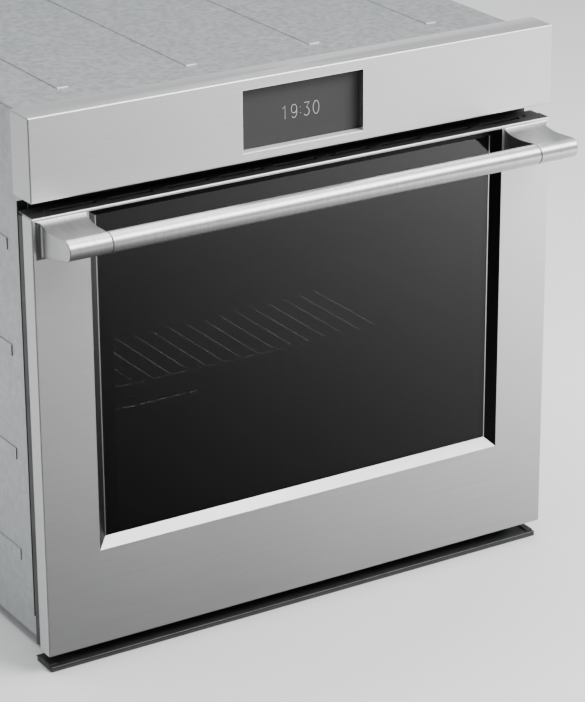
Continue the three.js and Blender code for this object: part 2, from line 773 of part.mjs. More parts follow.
function handle() {
  const length = bar.end - bar.halfLength;
  const tube = new THREE.LatheGeometry(
    [
      [bar.radius, -bar.halfLength + GAP],
      [bar.radius, bar.halfLength - GAP],
      [bar.radius - 2, bar.halfLength - GAP],
      [bar.radius - 2, -bar.halfLength + GAP],
      [bar.radius, -bar.halfLength + GAP],
    ].map(([r, h]) => new THREE.Vector2(r, h)),
    24,
  ).rotateZ(-Math.PI / 2);
  // The outline is drawn in X-Y and extruded along Z. Turned, its X is world Y and its Y is world Z.
  const upright = new THREE.Matrix4().makeBasis(
    new THREE.Vector3(0, 1, 0),
    new THREE.Vector3(0, 0, 1),
    new THREE.Vector3(1, 0, 0),
  );
  const settings = { depth: length, bevelEnabled: false, curveSegments: 10 };
  const brackets = bothSides((side, sign) => {
    const g = new THREE.ExtrudeGeometry(bracketOutline(), settings).applyMatrix4(upright);
    const x = sign > 0 ? bar.halfLength : -bar.end;
    return piece(`handle_bracket_${side}`, finish.satinSteel, g, [x, 0, 0]);
  });
  return gather(piece("handle_bar", finish.satinSteel, tube, [0, bar.y, bar.z]), ...brackets);
}

// ---------------------------------------------------------------- the oven

function makeOven() {
  const convection = convectionSystem();
  const cooling = coolingSystem();
  const lock = latchAssembly();
  const fixed = gather(
    chassisShell(),
    ...mountingFlanges(),
    frontFramePlate(),
    lowerVentTrim(),
    cavityLiner(),
    convection.fixed,
    heatingElements(),
    lampsAndSensor(),
    insulation(),
    ...rackLadders(),
    ...fixedSlides(),
    doorGasket(),
    ...hingeAnchors(),
    lock.motor,
    cooling.fixed,
    electrics(),
    controlPanel(),
  );
  const moving = gather(
    convection.wheel,
    cooling.wheel,
    lock.hook,
    switchPlunger(),
    piece("upper_rack", finish.chrome, wireRack(rack)),
    ...slideRunners(),
    piece("lower_rack", finish.chrome, wireRack(lowerRack)),
  );
  const doorGroup = gather(doorSkin(), ...doorGlazing(), ...doorLiner(), ...doorHinges(), handle());
  const oven = gather(fixed, moving, doorGroup);
  const front = bar.y - bar.radius;
  oven.position.y = -(front + DEPTH) / 2;
  return oven;
}

export default makeOven();
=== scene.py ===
"""The looks of a built-in wall oven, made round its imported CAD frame.

Metres, +Z up, +Y to the back.
"""

import math

import bmesh
import bpy
from mathutils import Matrix, Vector


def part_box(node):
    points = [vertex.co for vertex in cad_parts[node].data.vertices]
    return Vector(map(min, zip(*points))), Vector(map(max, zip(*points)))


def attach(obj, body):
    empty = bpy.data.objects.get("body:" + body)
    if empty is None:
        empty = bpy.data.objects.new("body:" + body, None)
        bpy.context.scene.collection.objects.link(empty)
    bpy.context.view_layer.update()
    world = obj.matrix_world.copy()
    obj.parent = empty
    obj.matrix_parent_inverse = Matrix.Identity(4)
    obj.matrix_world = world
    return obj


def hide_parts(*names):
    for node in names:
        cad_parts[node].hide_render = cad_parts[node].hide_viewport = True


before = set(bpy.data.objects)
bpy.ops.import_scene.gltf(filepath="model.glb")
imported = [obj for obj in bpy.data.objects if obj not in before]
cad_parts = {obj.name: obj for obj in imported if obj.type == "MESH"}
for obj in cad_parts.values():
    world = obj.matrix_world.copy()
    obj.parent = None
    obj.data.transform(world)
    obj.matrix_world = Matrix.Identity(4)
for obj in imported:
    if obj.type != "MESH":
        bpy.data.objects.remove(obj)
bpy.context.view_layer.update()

MM = 0.001
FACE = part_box("door_skin")[0].y  # the front face of door and panel
DOOR_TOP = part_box("door_skin")[1].z
SIDES = (("left", -1), ("right", 1))

# ---------------------------------------- camera

CAMERA_PLACE = (-1.7965, -3.1545, 1.7248)
CAMERA_YAW = 0.5510  # radians to the right of the door's normal
CAMERA_PITCH = 0.3820  # radians below the horizon
CAMERA_ROLL = -0.0060
CAMERA_LENS = 148.03  # mm on a 36 mm long side


def make_camera():
    data = bpy.data.cameras.new("camera")
    data.lens = CAMERA_LENS
    data.sensor_width = 36
    camera = bpy.data.objects.new("camera", data)
    bpy.context.scene.collection.objects.link(camera)
    turn = Matrix.Rotation(-CAMERA_YAW, 4, "Z")
    tilt = Matrix.Rotation(math.pi / 2 - CAMERA_PITCH, 4, "X")
    roll = Matrix.Rotation(CAMERA_ROLL, 4, "Z")
    camera.matrix_world = Matrix.Translation(CAMERA_PLACE) @ turn @ tilt @ roll
    bpy.context.scene.camera = camera


# ---------------------------------------- materials


class Shader:
    """A Principled material with short calls for the nodes that drive it."""

    def __init__(self, name, color, rough, metal=0.0, **sockets):
        self.material = bpy.data.materials.new(name)
        self.material.use_nodes = True
        self.tree = self.material.node_tree
        self.bsdf = self.tree.nodes["Principled BSDF"]
        self.set("Base Color", (*color, 1))
        self.set("Roughness", rough)
        self.set("Metallic", metal)
        for socket, value in sockets.items():
            self.set(socket.replace("_", " "), value)

    def set(self, socket, value):
        self.bsdf.inputs[socket].default_value = value

    def node(self, kind, **values):
        made = self.tree.nodes.new(kind)
        for key, value in values.items():
            if key in made.inputs:
                made.inputs[key].default_value = value
            else:
                setattr(made, key, value)
        return made

    def link(self, source, target):
        self.tree.links.new(source, target)

    def coordinates(self, scale):
        """Object coordinates, in metres, times a scale for each axis."""
        place = self.node("ShaderNodeTexCoord")
        mapping = self.node("ShaderNodeMapping")
        mapping.inputs["Scale"].default_value = scale
        self.link(place.outputs["Object"], mapping.inputs["Vector"])
        return mapping.outputs["Vector"]

    def noise(self, scale, detail=3.0):
        made = self.node("ShaderNodeTexNoise", Scale=1.0, Detail=detail)
        self.link(self.coordinates(scale), made.inputs["Vector"])
        return made.outputs["Fac"]

    def cells(self, scale):
        made = self.node("ShaderNodeTexVoronoi", Scale=1.0)
        self.link(self.coordinates(scale), made.inputs["Vector"])
        return made.outputs

    def span(self, value, low, high, start=0.3, end=0.7):
        """Maps a field from start..end to low..high."""
        made = self.node("ShaderNodeMapRange")
        ends = {"From Min": start, "From Max": end, "To Min": low, "To Max": high}
        for socket, number in ends.items():
            made.inputs[socket].default_value = number
        self.link(value, made.inputs["Value"])
        return made.outputs["Result"]

    def tone(self, value, dark, light, start=0.3, end=0.7):
        """Colours the surface between two tones by a field."""
        made = self.node("ShaderNodeMix", data_type="RGBA")
        for socket in made.inputs:
            if socket.type == "RGBA":
                socket.default_value = (*(dark if socket.name == "A" else light), 1)
        self.link(self.span(value, 0, 1, start, end), made.inputs["Factor"])
        output = next(o for o in made.outputs if o.type == "RGBA")
        self.link(output, self.bsdf.inputs["Base Color"])

    def roughen(self, value, low, high, start=0.3, end=0.7):
        self.link(self.span(value, low, high, start, end), self.bsdf.inputs["Roughness"])

    def bump(self, height, strength, distance):
        made = self.node("ShaderNodeBump", Strength=strength, Distance=distance)
        self.link(height, made.inputs["Height"])
        self.link(made.outputs["Normal"], self.bsdf.inputs["Normal"])


def grey(value):
    return (value, value, value)


def scaled(color, factor):
    return tuple(min(1.0, c * factor) for c in color)


def brushed(name, color, rough, grain, depth, stretch=0.0, metal=1.0, tint=0.06):
    """Sheet or bar with fine parallel scratches. grain is the noise scale on each axis."""
    s = Shader(name, color, rough, metal, Anisotropic=stretch, Anisotropic_Rotation=0.25)
    scratches = s.noise(grain, 4.0)
    cloud = s.noise((3, 3, 3), 2.0)
    s.tone(scratches, scaled(color, 1 - tint), scaled(color, 1 + tint))
    s.roughen(cloud, rough - 0.02, rough + 0.03)
    s.bump(scratches, depth, 0.0002)
    return s.material


def galvanised():
    s = Shader("galvanised_sheet", (0.46, 0.48, 0.49), 0.42, 1.0)
    spangle = s.cells((120, 120, 120))
    s.tone(spangle["Color"], (0.44, 0.46, 0.47), (0.51, 0.53, 0.54), 0.1, 0.9)
    s.roughen(spangle["Distance"], 0.40, 0.50, 0.0, 0.8)
    s.bump(s.noise((260, 260, 260)), 0.06, 0.0004)
    return s.material


def enamel():
    """Dark vitreous enamel with its fine pale speckle."""
    s = Shader("dark_enamel", (0.016, 0.017, 0.022), 0.22, 0.0, Specular_IOR_Level=0.6)
    s.tone(s.noise((620, 620, 620), 1.0), (0.013, 0.014, 0.019), (0.16, 0.17, 0.19), 0.66, 0.74)
    s.roughen(s.noise((18, 18, 18)), 0.18, 0.28)
    s.bump(s.noise((90, 90, 90)), 0.05, 0.0008)
    return s.material


def powder_coat(name, color, rough):
    s = Shader(name, color, rough)
    s.tone(s.noise((40, 40, 40)), scaled(color, 0.85), scaled(color, 1.2))
    s.roughen(s.noise((25, 25, 25)), rough - 0.05, rough + 0.07)
    s.bump(s.noise((1500, 1500, 1500), 1.0), 0.10, 0.0003)
    return s.material


def polished(name, color, rough):
    s = Shader(name, color, rough, 1.0)
    s.roughen(s.noise((60, 60, 60)), rough * 0.7, rough * 1.5)
    s.tone(s.noise((12, 12, 12)), scaled(color, 0.95), scaled(color, 1.05))
    return s.material


def dark_glass(name, color, rough, alpha=1.0, gloss=0.5):
    s = Shader(name, color, rough, 0.0, IOR=1.5, Alpha=alpha, Specular_IOR_Level=gloss)
    s.roughen(s.noise((9, 9, 9)), rough, rough + 0.012)
    return s.material


def clear_glass():
    s = Shader("clear_glass", (0.30, 0.33, 0.32), 0.03, 0.0, IOR=1.5, Alpha=0.16)
    s.roughen(s.noise((9, 9, 9)), 0.02, 0.04)
    return s.material


def woven(name, color, scale):
    s = Shader(name, color, 0.92, 0.0)
    cells = s.cells(scale)
    s.tone(cells["Distance"], scaled(color, 1.3), scaled(color, 0.5), 0.1, 0.7)
    s.bump(cells["Distance"], 0.6, 0.0008)
    return s.material


def glowing(name, color, strength):
    s = Shader(name, color, 0.4)
    s.set("Emission Color", (*color, 1))
    s.set("Emission Strength", strength)
    s.roughen(s.noise((50, 50, 50)), 0.35, 0.45)
    return s.material


LOOK = {
    "face_steel": brushed("brushed_face_steel", grey(0.61), 0.36, (6, 1100, 1100), 0.07, 0.5, 0.82),
    "bar_steel": brushed(
        "turned_bar_steel", grey(0.50), 0.35, (420, 26, 26), 0.22, tint=0.10, metal=0.97
    ),
    "rim_steel": brushed("bright_rim_steel", grey(0.62), 0.13, (6, 900, 900), 0.03),
    # painted shade: the steel walls round the window are coloured near black for the shade and dark
    # reflection they show
    "shadow_steel": brushed("window_wall_painted_shade", grey(0.022), 0.24, (900, 900, 6), 0.03, metal=0.9),
    "ledge_steel": brushed(
        "window_ledge_steel", grey(0.50), 0.40, (6, 1100, 1100), 0.10, 0.4, 0.75
    ),
    # painted highlight: the sill is near white for the bright line on the display opening's lower
    # edge
    "sill_painted_highlight": brushed(
        "display_sill_painted_highlight", grey(0.92), 0.42, (6, 900, 900), 0.03, tint=0.03, metal=0.35
    ),
    "zinc": galvanised(),
    "chrome": polished("bright_chrome", (0.68, 0.69, 0.70), 0.10),
    "cast": polished("cast_aluminium", (0.42, 0.43, 0.44), 0.42),
    "heater": powder_coat("oxidised_sheath", (0.055, 0.05, 0.046), 0.5),
    "enamel": enamel(),
    "black_paint": powder_coat("black_powder_coat", (0.010, 0.010, 0.011), 0.42),
    "trim_black": powder_coat("satin_black_trim", (0.028, 0.028, 0.029), 0.5),
    "black_plastic": powder_coat("black_plastic", (0.014, 0.014, 0.014), 0.55),
    "display": dark_glass("display_glass", grey(0.056), 0.45, gloss=0.12),
    "window": dark_glass("window_glass", grey(0.003), 0.06, 0.72),
    "clear": clear_glass(),
    "quilt": woven("glass_fibre_quilt", (0.62, 0.58, 0.44), (160, 160, 160)),
    "braid": woven("braided_seal", (0.10, 0.095, 0.085), (620, 620, 620)),
    "board": powder_coat("circuit_board_green", (0.014, 0.1, 0.035), 0.5),
    "digits": glowing("lit_digits", grey(0.70), 0.65),
}

# ---------------------------------------- mesh tools


def new_object(name, mesh):
    made = bpy.data.objects.new(name, mesh)
    bpy.context.scene.collection.objects.link(made)
    return made


def from_bmesh(name, bm):
    bmesh.ops.recalc_face_normals(bm, faces=bm.faces)
    mesh = bpy.data.meshes.new(name)
    bm.to_mesh(mesh)
    bm.free()
    return new_object(name, mesh)


def evaluated(obj):
    return bpy.data.meshes.new_from_object(obj.evaluated_get(bpy.context.evaluated_depsgraph_get()))


def settle(obj):
    """Applies the object's modifiers."""
    mesh = evaluated(obj)
    obj.modifiers.clear()
    obj.data = mesh
    return obj


def present(obj, look, body, replaces=(), crease=35):
    """Gives a piece its shading, material and body, and hides the CAD nodes it replaces."""
    obj.data.materials.clear()
    obj.data.materials.append(LOOK[look])
    obj.data.polygons.foreach_set("use_smooth", [True] * len(obj.data.polygons))
    obj.data.set_sharp_from_angle(angle=math.radians(crease))
    level = obj.modifiers.new("flat_faces_stay_flat", "WEIGHTED_NORMAL")
    level.keep_sharp = True
    settle(obj)
    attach(obj, body)
    if replaces:
        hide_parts(*replaces)
    return obj


def sharp(edge, degrees=30):
    return len(edge.link_faces) == 2 and edge.calc_face_angle(0) > math.radians(degrees)


def round_edges(bm, width, segments=3, pick=sharp):
    edges = [e for e in bm.edges if pick(e)]
    bmesh.ops.bevel(
        bm,
        geom=edges,
        offset=width,
        segments=segments,
        profile=0.5,
        affect="EDGES",
        clamp_overlap=False,
    )


def cuboid(low, high, width=0.0, segments=3, pick=sharp):
    bm = bmesh.new()
    bmesh.ops.create_cube(bm, size=1.0)
    low, high = Vector(low), Vector(high)
    for v in bm.verts:
        v.co = Vector((low[i] + high[i]) / 2 + v.co[i] * (high[i] - low[i]) for i in range(3))
    if width:
        round_edges(bm, width, segments, pick)
    return bm


def behind_face(middle, half, size):
    """The corners of a box round one x. Its size is in mm, with front and back behind the face."""
    low = (middle - half, FACE + size["front"] * MM, size["low"] * MM)
    return low, (middle + half, FACE + size["back"] * MM, size["high"] * MM)


def frustum(front, y_front, back, y_back):
    """A solid between two upright rectangles. A rectangle is low x, high x, low z, high z."""
    bm = cuboid((-1, -1, -1), (1, 1, 1))
    for v in bm.verts:
        rect, y = (front, y_front) if v.co.y < 0 else (back, y_back)
        v.co = Vector((rect[0] if v.co.x < 0 else rect[1], y, rect[2] if v.co.z < 0 else rect[3]))
    return bm


def combine(body, *tools, operation="DIFFERENCE"):
    for tool in tools:
        cutter = from_bmesh("tool", tool)
        step = body.modifiers.new("step", "BOOLEAN")
        step.object = cutter
        step.operation = operation
        step.solver = "EXACT"
        settle(body)
        bpy.data.objects.remove(cutter)
    return body


def edit(obj, change):
    bm = bmesh.new()
    bm.from_mesh(obj.data)
    change(bm)
    bm.to_mesh(obj.data)
    bm.free()
    return obj


def cleaned(bm):
    bmesh.ops.remove_doubles(bm, verts=bm.verts, dist=1e-6)
    bmesh.ops.dissolve_limit(bm, angle_limit=math.radians(1), verts=bm.verts, edges=bm.edges)


def softened(node, width, segments=2):
    """A copy of a CAD node whose sharp edges are rounded."""
    made = new_object(f"{node}_formed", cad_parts[node].data.copy())

    def change(bm):
        cleaned(bm)
        round_edges(bm, width, segments)

    return edit(made, change)


def lathe(profile, segments=64):
    """Turns a closed profile of (radius, height) points about Z."""
    bm = bmesh.new()
    rings = []
    for i in range(segments):
        a = 2 * math.pi * i / segments
        rings.append([bm.verts.new((r * math.cos(a), r * math.sin(a), h)) for r, h in profile])
    for i, ring in enumerate(rings):
        following = rings[(i + 1) % segments]
        for j in range(len(profile)):
            k = (j + 1) % len(profile)
            bm.faces.new((ring[j], following[j], following[k], ring[k]))
    bmesh.ops.remove_doubles(bm, verts=bm.verts, dist=1e-7)
    return bm


def placed(bm, place, axis):
    """Turns a shape made along Z to lie along an axis, and moves it."""
    turn = Vector((0, 0, 1)).rotation_difference(Vector(axis)).to_matrix().to_4x4()
    bmesh.ops.transform(bm, matrix=Matrix.Translation(place) @ turn, verts=bm.verts)
    return bm


def gathered(shapes):
    """Several separate shapes in one bmesh."""
    whole = bmesh.new()
    for shape in shapes:
        mesh = bpy.data.meshes.new("part")
        shape.to_mesh(mesh)
        shape.free()
        whole.from_mesh(mesh)
        bpy.data.meshes.remove(mesh)
    return whole


def merged(name, shapes):
    return from_bmesh(name, gathered(shapes))


def filleted(points, radius, closed=False, steps=5):
    """A polyline whose corners are rounded."""
    v = [Vector(p) for p in points]
    count = len(v)
    corners = range(count) if closed else range(1, count - 1)
    made = [] if closed else [v[0]]
    for i in corners:
        before, here, after = v[i - 1], v[i], v[(i + 1) % count]
        into = here + (before - here).normalized() * radius
        out = here + (after - here).normalized() * radius
        for k in range(steps + 1):
            t = k / steps
            made.append(into.lerp(here, t).lerp(here.lerp(out, t), t))
    if not closed:
        made.append(v[-1])
    return made


def wires(name, routes, radius, sides=10):
    """Round wires along polylines, as one mesh. A route is (points, closed)."""
    data = bpy.data.curves.new(name, "CURVE")
    data.dimensions = "3D"
    data.bevel_depth = radius
    data.bevel_resolution = (sides - 4) // 2
    data.use_fill_caps = True
    for points, closed in routes:
        spline = data.splines.new("POLY")
        spline.points.add(len(points) - 1)
        spline.use_cyclic_u = closed
        for target, p in zip(spline.points, points):
            target.co = (*p, 1)
    source = new_object(name + "_route", data)
    mesh = evaluated(source)
    bpy.data.objects.remove(source)
    return new_object(name, mesh)


def ring(x, y, z, plane, radius, steps=5):
    """A rounded rectangle in the plane "xy" or "xz".

    The plane's two axes are (low, high), and the third is a number.
    """
    if plane == "xy":
        corners = [(x[0], y[0], z), (x[1], y[0], z), (x[1], y[1], z), (x[0], y[1], z)]
    else:
        corners = [(x[0], y, z[0]), (x[1], y, z[0]), (x[1], y, z[1]), (x[0], y, z[1])]
    return filleted(corners, radius, True, steps)


SCREW_RADIUS = 3.6 * MM
SCREW_HEIGHT = 0.62  # a share of the radius
# Shares of a screw head's radius and height: its outline, and the cross cut into it.
SCREW_OUTLINE = ((1.0, 0.0), (1.0, 0.35), (0.88, 0.75), (0.66, 0.96), (0.5, 1.0))
CROSS = {"arm": 0.46, "web": 0.15, "rim": 0.98, "floor": 0.45, "taper": 0.9}


def screw_head(place, axis, radius=SCREW_RADIUS):
    """A pan head with a cross recess, its flat underside at the place."""
    height = radius * SCREW_HEIGHT
    count = 24
    bm = bmesh.new()
    rings = []
    for i in range(count):
        a = 2 * math.pi * i / count
        reach = radius * (CROSS["arm"] if i % (count // 4) == 0 else CROSS["web"])
        points = [(radius * r, height * h) for r, h in SCREW_OUTLINE]
        points.append((reach, height * CROSS["rim"]))
        points.append((reach * CROSS["taper"], height * CROSS["floor"]))
        rings.append([bm.verts.new((r * math.cos(a), r * math.sin(a), h)) for r, h in points])
    for i, column in enumerate(rings):
        following = rings[(i + 1) % count]
        for j in range(len(column) - 1):
            bm.faces.new((column[j], following[j], following[j + 1], column[j + 1]))
    bm.faces.new([column[-1] for column in rings])
    bm.faces.new([column[0] for column in reversed(rings)])
    return placed(bm, place, axis)


def add_screws(
    name, places, axis, look="chrome", body="oven", radius=SCREW_RADIUS
):
    heads = [screw_head(place, axis, radius) for place in places]
    present(merged(name, heads), look, body)


def rib(low, high):
    """A pressed rib: a low, round-edged pad."""
    size = Vector(high) - Vector(low)
    return cuboid(low, high, min(size) * 0.49, 3)


def add_ribs(name, boxes):
    present(merged(name, [rib(low, high) for low, high in boxes]), "zinc", "oven")


# ---------------------------------------- front: panel, door skin, glass

WINDOW = {"half": 301.5 * MM, "low": 153.5 * MM, "high": 600.5 * MM}
BEVEL = {"side": 13 * MM, "top": 10 * MM, "depth": 10 * MM}
SHEET = 2 * MM
CORNER = 1.9 * MM  # radius of the folded steel edges
DISPLAY = {"half": 88 * MM, "low": 633.5 * MM, "high": 715 * MM, "recess": 13 * MM}
# The cut in the door's underside that each hinge claw passes through, measured back from the face.
HINGE_ROOM = {"middle": 340, "half": 5, "front": 12, "back": 41, "low": 21, "high": 45}  # mm


def corner_edges(edge):
    """The upright edges and those of the front face, but not those at the back."""
    return sharp(edge) and any(v.co.y < FACE + 1e-4 for v in edge.verts)


def tray(name, node, top_open):
    """A folded sheet tray in the place of a CAD node, with round outer corners."""
    low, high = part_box(node)
    body = from_bmesh(name, cuboid(low, high, CORNER, 5, corner_edges))
    inner_low = low + Vector((SHEET, SHEET, SHEET))
    inner_high = high + Vector((-SHEET, SHEET, SHEET if top_open else -SHEET))
    return combine(body, cuboid(inner_low, inner_high, 0.8 * MM, 2))


def fine_edges(width):
    def change(bm):
        cleaned(bm)
        round_edges(bm, width, 2, lambda e: sharp(e, 32))

    return change


def make_panel():
    body = tray("panel_fascia", "control_panel", False)
    half, low, high, recess = (DISPLAY[k] for k in ("half", "low", "high", "recess"))
    back = FACE + recess
    wall = SHEET * 0.9
    collar = cuboid((-half - wall, FACE + MM, low - wall), (half + wall, back, high + wall))
    combine(body, collar, operation="UNION")
    hole = cuboid((-half, FACE - 0.01, low), (half, back + MM, high), 1.2 * MM, 3)
    combine(body, hole)
    edit(body, fine_edges(0.35 * MM))
    present(body, "face_steel", "oven", ["control_panel"])
    rect = (-half, half, low, high)
    lining_wall = 0.8 * MM
    outer, inner = grown(rect, 0.4 * MM), grown(rect, -lining_wall)
    lining = from_bmesh("display_surround", frustum(outer, FACE + 0.1 * MM, outer, back))
    combine(lining, frustum(inner, FACE - MM, inner, back + MM))
    edit(lining, fine_edges(0.3 * MM))
    present(lining, "rim_steel", "oven")
    # painted highlight: a thin near-white sill along the display opening's lower edge
    sill_low = (lining_wall - half, FACE + 0.3 * MM, low)
    sill_high = (half - lining_wall, back - 0.2 * MM, low + 1.3 * MM)
    sill = cuboid(sill_low, sill_high, 0.4 * MM)
    present(from_bmesh("display_sill", sill), "sill_painted_highlight", "oven")


def window_rects():
    half, low, high = WINDOW["half"], WINDOW["low"], WINDOW["high"]
    outer = (-half, half, low, high)
    side, top = BEVEL["side"], BEVEL["top"]
    return outer, (side - half, half - side, low + side, high - top)


def grown(rect, by):
    return (rect[0] - by, rect[1] + by, rect[2] - by, rect[3] + by)


def between(a, b, share):
    return tuple(p + (q - p) * share for p, q in zip(a, b))


def make_door_front():
    body = tray("door_front", "door_skin", True)
    outer, _ = window_rects()
    opening = frustum(outer, FACE - MM, outer, FACE + 3 * MM)
    rooms = []
    for _, sign in SIDES:
        middle = sign * HINGE_ROOM["middle"] * MM
        rooms.append(cuboid(*behind_face(middle, HINGE_ROOM["half"] * MM, HINGE_ROOM)))
    combine(body, opening, *rooms)
    edit(body, fine_edges(0.3 * MM))
    present(body, "face_steel", "door", ["door_skin"])


def surround_ring(name):
    """The four sloped walls round the window."""
    outer, inner = window_rects()
    depth, wall = BEVEL["depth"], 1.5 * MM
    front, back = grown(outer, wall), grown(inner, wall)
    ring_shape = from_bmesh(name, frustum(front, FACE + 0.1 * MM, back, FACE + depth))
    beyond = 0.2
    near, far = between(outer, inner, -beyond), between(outer, inner, 1 + beyond)
    hole = frustum(near, FACE - beyond * depth, far, FACE + depth * (1 + beyond))
    return combine(ring_shape, hole)


def ledge_wedge():
    """A prism that holds only the bottom wall, with its sloped sides along the mitred corners."""
    half, low = WINDOW["half"], WINDOW["low"]
    past = 5 * MM
    corners = ((-half - past, low - past), (half + past, low - past), (0, low + half))
    bm = bmesh.new()
    front = [bm.verts.new((x, FACE - past, z)) for x, z in corners]
    back = [bm.verts.new((x, FACE + 4 * past, z)) for x, z in corners]
    bm.faces.new(front)
    bm.faces.new(reversed(back))
    for i in range(3):
        bm.faces.new((front[i], back[i], back[i - 2], front[i - 2]))
    return bm


def make_window_surround():
    """Side and top walls coloured near black as painted shade, a brushed ledge below, and a thin
    bright lip beside the glass.
    """
    # painted shade: the side and top walls get the near-black look
    walls = combine(surround_ring("window_surround"), ledge_wedge())
    edit(walls, fine_edges(0.15 * MM))
    present(walls, "shadow_steel", "door")
    ledge = combine(surround_ring("window_ledge"), ledge_wedge(), operation="INTERSECT")
    edit(ledge, fine_edges(0.15 * MM))
    present(ledge, "ledge_steel", "door")
    _, inner = window_rects()
    y = FACE + BEVEL["depth"] - 0.4 * MM
    front, back = grown(inner, 0.6 * MM), grown(inner, 0.4 * MM)
    lip = from_bmesh("window_rim", frustum(front, y, back, y + 0.5 * MM))
    gap = (inner[0] + 0.8 * MM, inner[1] - 0.8 * MM, inner[2] - 2 * MM, inner[3] + 2 * MM)
    combine(lip, frustum(gap, y - MM, gap, y + 2 * MM))
    edit(lip, fine_edges(0.12 * MM))
    present(lip, "bar_steel", "door")


def make_glazing():
    outer = softened("outer_glass", 0.6 * MM)
    present(outer, "window", "door", ["outer_glass"])
    for node in ("middle_glass", "inner_glass"):
        present(softened(node, 0.6 * MM), "clear", "door", [node])
    low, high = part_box("outer_glass")
    y = high.y + 0.2 * MM
    mask = from_bmesh("printed_border", cuboid((low.x, y, low.z), (high.x, y + 0.3 * MM, high.z)))
    inset = Vector((18 * MM, 0, 18 * MM))
    view_low, view_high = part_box("middle_glass")
    view_low, view_high = view_low + inset, view_high - inset
    view = cuboid((view_low.x, y - MM, view_low.z), (view_high.x, y + MM, view_high.z))
    edit(combine(mask, view), cleaned)
    present(mask, "black_paint", "door")


# ---------------------------------------- handle


FOOT_RADIUS = 7.5 * MM  # of the fillet between a bracket's outer side and the door
FOOT_FLARE = 6.5 * MM  # the most that the fillet widens the foot
NOSE_LENGTH = 18 * MM  # the round front of a bracket, where the sections lie close
FOOT_LENGTH = 10 * MM  # the same at the door
STRAIGHT_START = 16 * MM  # where the inner side begins to widen
BRACKET_GAP = 0.3 * MM
INNER_TAPER = 5 * MM  # how much wider the foot is on the window's side
# A bracket's outlines behind its nose, in mm: the distance before the face, and the height.
BRACKET_TOP = ((34, 593.0), (7, 592.6), (0.3, 600.7))
BRACKET_UNDERSIDE = ((12, 557.2), (8, 556.8), (1, 556.2), (0.3, 552))


def curve_through(a, b, c, steps):
    """Points of a quadratic curve from a to c."""
    return [a.lerp(b, k / steps).lerp(b.lerp(c, k / steps), k / steps) for k in range(steps + 1)]


def height_at(line, y):
    """The height of a polyline of (y, z), whose y only grows, at one y."""
    for a, b in zip(line, line[1:]):
        if y <= b.x:
            share = 0 if b.x == a.x else (y - a.x) / (b.x - a.x)
            return a.y + (b.y - a.y) * max(0.0, share)
    return line[-1].y


def bracket_lines():
    """The bracket's upper and lower outlines in the YZ plane, from the nose back to the door."""
    low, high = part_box("handle_bar")
    radius = (high.z - low.z) / 2
    axis = Vector(((low.y + high.y) / 2, (low.z + high.z) / 2))

    def at(depth, height):
        return Vector((FACE - depth * MM, height * MM))

    def nose(first, last, steps=28):
        turns = [math.radians(first + (last - first) * k / steps) for k in range(steps + 1)]
        return [axis + Vector((math.cos(a), math.sin(a))) * radius for a in turns]

    top = [at(*point) for point in BRACKET_TOP]
    straight, *curve = [at(*point) for point in BRACKET_UNDERSIDE]
    upper = nose(180, 82) + curve_through(*top, 18)
    lower = nose(180, 263) + [straight] + curve_through(*curve, 8)
    return upper, lower


def make_bracket(side):
    """Sections across the bracket, set close at the round nose and at the fillet on the door."""
    low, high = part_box(f"handle_bracket_{side}")
    upper, lower = bracket_lines()
    nose, foot = upper[0].x, FACE - BRACKET_GAP
    inward = 1 if side == "left" else -1
    bm = bmesh.new()
    start, end = nose + NOSE_LENGTH, foot - FOOT_LENGTH
    stations = [nose + (1 - math.cos(math.pi / 2 * k / 24)) * NOSE_LENGTH for k in range(1, 25)]
    stations += [start + (end - start) * k / 8 for k in range(1, 9)]
    stations += [foot - FOOT_LENGTH * (1 - k / 18) ** 1.5 for k in range(1, 19)]
    tip = [bm.verts.new((x, nose, upper[0].y)) for x in (low.x, high.x)]
    rows = []
    for y in stations:
        depth = max(0.0, FOOT_RADIUS - (foot - y))
        flare = FOOT_RADIUS - math.sqrt(max(0.0, FOOT_RADIUS**2 - depth**2))
        flare = min(flare, FOOT_FLARE)
        taper = INNER_TAPER * max(0.0, (y - nose - STRAIGHT_START) / (foot - nose - STRAIGHT_START))
        x0 = low.x - (flare if inward > 0 else taper)
        x1 = high.x + (taper if inward > 0 else flare)
        top, bottom = height_at(upper, y), height_at(lower, y)
        corners = ((x0, bottom), (x1, bottom), (x1, top), (x0, top))
        rows.append([bm.verts.new((x, y, z)) for x, z in corners])
    for a, b in zip(rows, rows[1:]):
        for i in range(4):
            j = (i + 1) % 4
            bm.faces.new((a[i], a[j], b[j], b[i]))
    first = rows[0]
    bm.faces.new((tip[0], tip[1], first[1], first[0]))
    bm.faces.new((tip[1], tip[0], first[3], first[2]))
    bm.faces.new((tip[0], first[0], first[3]))
    bm.faces.new((tip[1], first[2], first[1]))
    bm.faces.new(rows[-1])
    body = from_bmesh(f"handle_end_{side}", bm)

    def along(edge):
        """The long edges between the end faces and the rest."""
        across = [f for f in edge.link_faces if abs(f.normal.x) > 0.6]
        return len(across) == 1 and sharp(edge, 40)

    edit(body, lambda b: round_edges(b, 1.0 * MM, 3, along))
    present(body, "bar_steel", "door", [f"handle_bracket_{side}"], 32)


